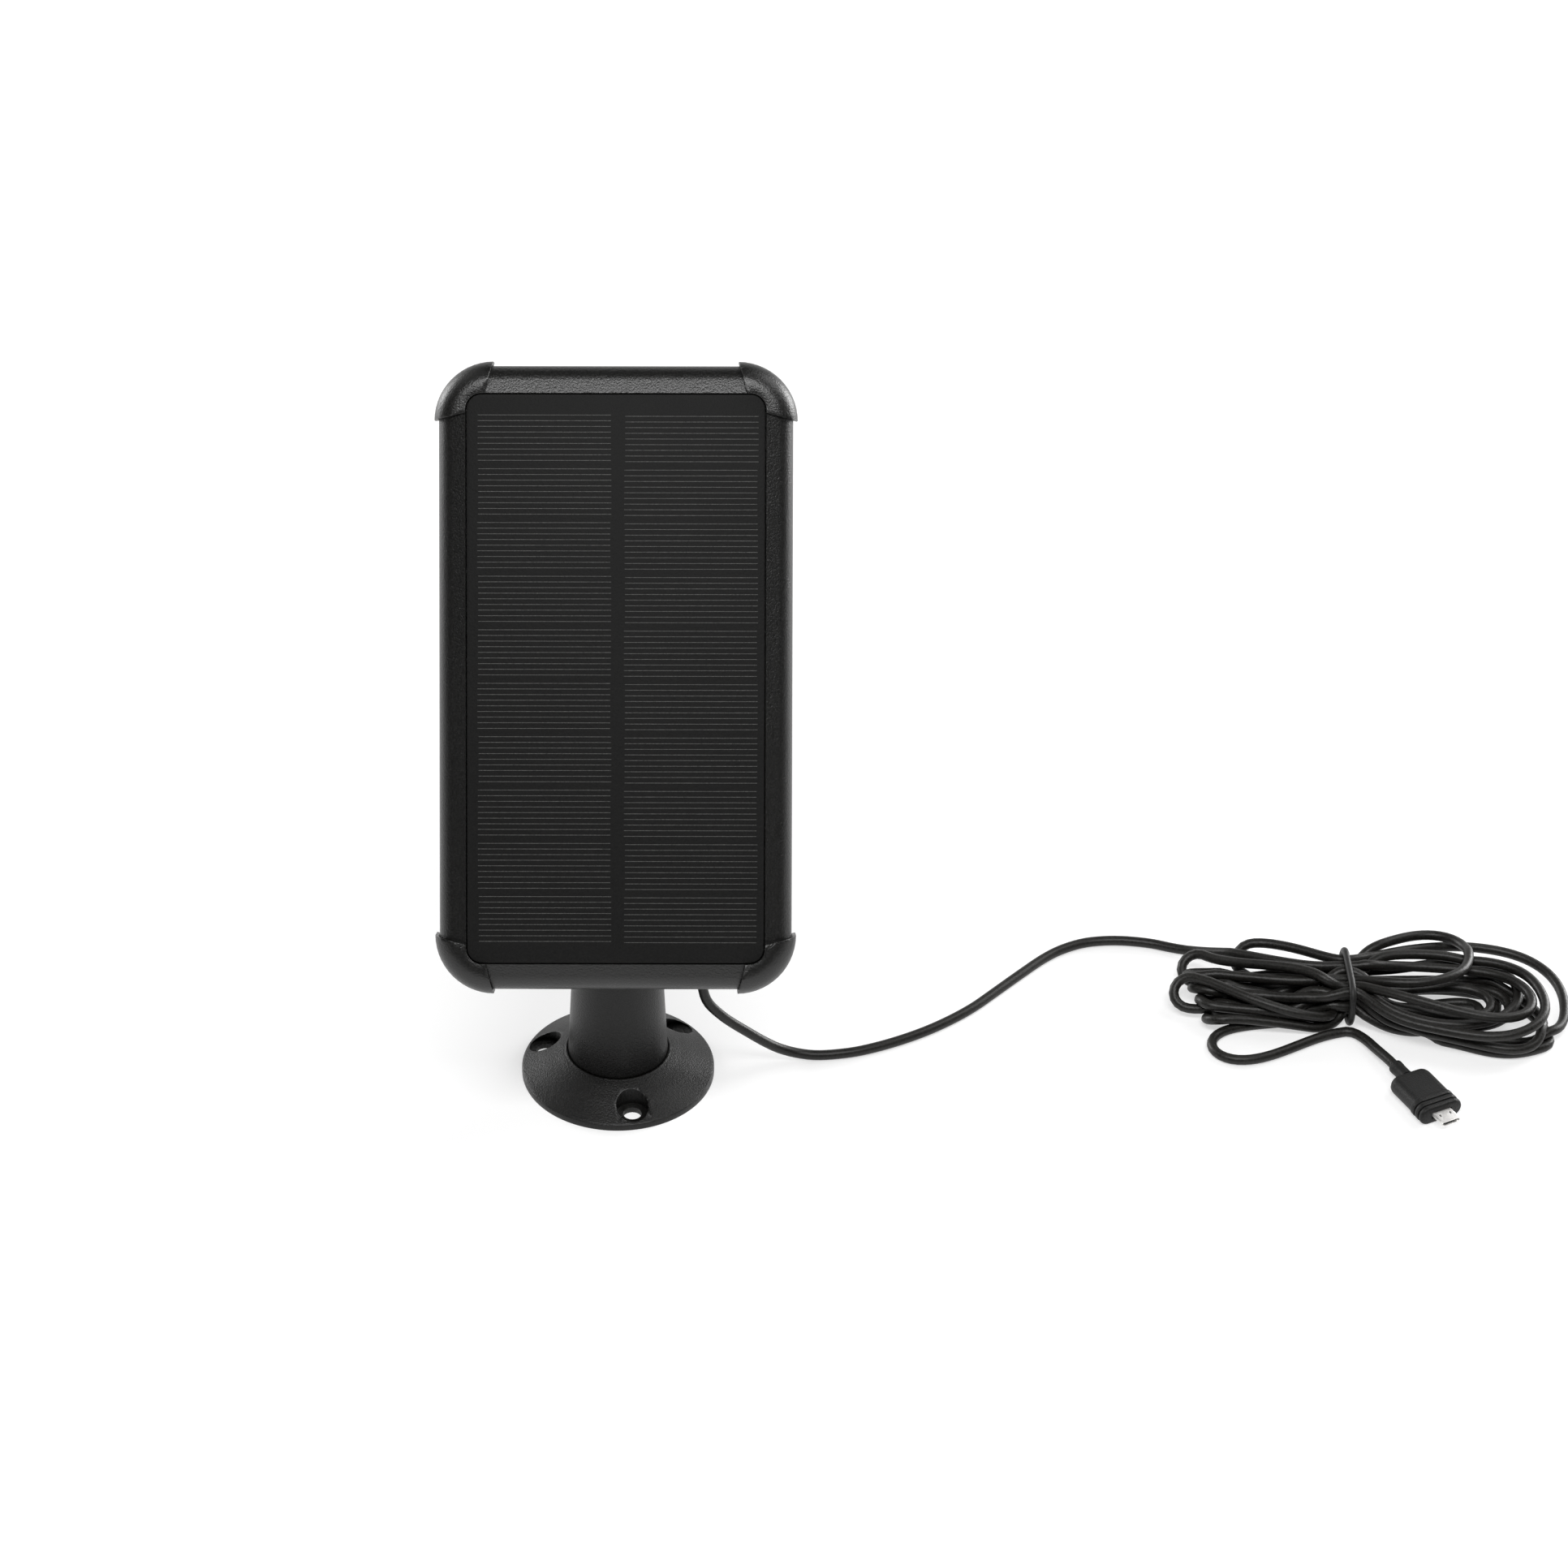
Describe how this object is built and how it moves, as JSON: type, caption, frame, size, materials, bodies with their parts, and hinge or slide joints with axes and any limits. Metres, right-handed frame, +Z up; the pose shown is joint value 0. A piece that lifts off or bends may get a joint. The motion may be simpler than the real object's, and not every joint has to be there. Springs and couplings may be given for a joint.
{
  "type": "solar charging panel",
  "caption": "Flat solar charging panel with corner caps on a swivelling and tilting post with a round screw-down base, with its charging lead and plug.",
  "frame": {"origin": "centre of the underside of the round base flange, on the surface that it is screwed to or stands on", "axes": "+Z up, out of the surface and along the post; -Y the way the panel faces; +X to the right as one looks at the panel's front"},
  "size_m": [0.367, 0.1151, 0.2285],
  "materials": {
    "black_plastic": "finely textured moulded black plastic",
    "cap_plastic": "smoother moulded black plastic, soft sheen",
    "cover_film": "matte textured cover film over dark cells",
    "silicon": "dark solar cells with fine printed lines",
    "glass_fibre": "green glass-fibre board",
    "rubber": "soft black rubber",
    "component_black": "moulded component body",
    "aluminium_can": "drawn aluminium can",
    "cord_skin": "matte dark grey cable jacket",
    "tie_wire": "plastic-coated twist wire",
    "plug_moulding": "grained over-moulded plug body",
    "steel": "zinc-plated steel",
    "nickel": "bright nickel plate",
    "nylon": "natural nylon",
    "red_skin": "red wire insulation"
  },
  "bodies": {
    "base": {"base_flange": "black_plastic", "pivot_cover": "rubber", "pivot_washer": "steel"},
    "post": {"mount_post": "black_plastic", "pivot_screw": "steel", "clamp_nut": "steel", "friction_washer_left": "nylon", "friction_washer_right": "nylon", "power_cable": "cord_skin", "cable_hank": "cord_skin", "cable_tie": "tie_wire", "cable_tail": "cord_skin", "plug_body": "plug_moulding", "plug_neck": "plug_moulding", "plug_shell": "nickel", "plug_tongue": "component_black"},
    "knob": {"clamp_knob": "black_plastic", "clamp_bolt": "steel"},
    "panel": {"pv_cover_sheet": "cover_film", "cell_string_left": "silicon", "cell_string_right": "silicon", "pv_backing_board": "glass_fibre", "front_frame": "black_plastic", "corner_cap_top_left": "cap_plastic", "corner_cap_top_right": "cap_plastic", "corner_cap_bottom_left": "cap_plastic", "corner_cap_bottom_right": "cap_plastic", "housing_gasket": "rubber", "rear_housing": "black_plastic", "housing_screw_1": "steel", "housing_screw_2": "steel", "housing_screw_3": "steel", "housing_screw_4": "steel", "housing_screw_5": "steel", "housing_screw_6": "steel", "tilt_bracket": "black_plastic", "bracket_screw_1": "steel", "bracket_screw_2": "steel", "bracket_screw_3": "steel", "bracket_screw_4": "steel", "charge_board": "glass_fibre", "board_screw_1": "steel", "board_screw_2": "steel", "inductor": "component_black", "smoothing_capacitor": "aluminium_can", "regulator_chip": "component_black", "blocking_diode": "component_black", "output_terminal": "nylon", "positive_wire": "red_skin", "negative_wire": "cord_skin", "cable_gland": "rubber", "gland_nut": "nylon", "inner_lead": "cord_skin"}
  },
  "joints": [
    {"name": "pan", "type": "hinge", "parent": "base", "child": "post", "pos_m": [0, 0, 0], "axis": [0, 0, 1], "range_deg": [-180, 180]},
    {"name": "tilt", "type": "hinge", "parent": "post", "child": "panel", "pos_m": [0, 0, 0.066], "axis": [-1, 0, 0], "range_deg": [-31.5, 58.5], "deforming": ["power_cable"]},
    {"name": "knob_turn", "type": "hinge", "parent": "post", "child": "knob", "pos_m": [0, 0, 0.066], "axis": [1, 0, 0], "range_deg": [0, 180]}
  ]
}
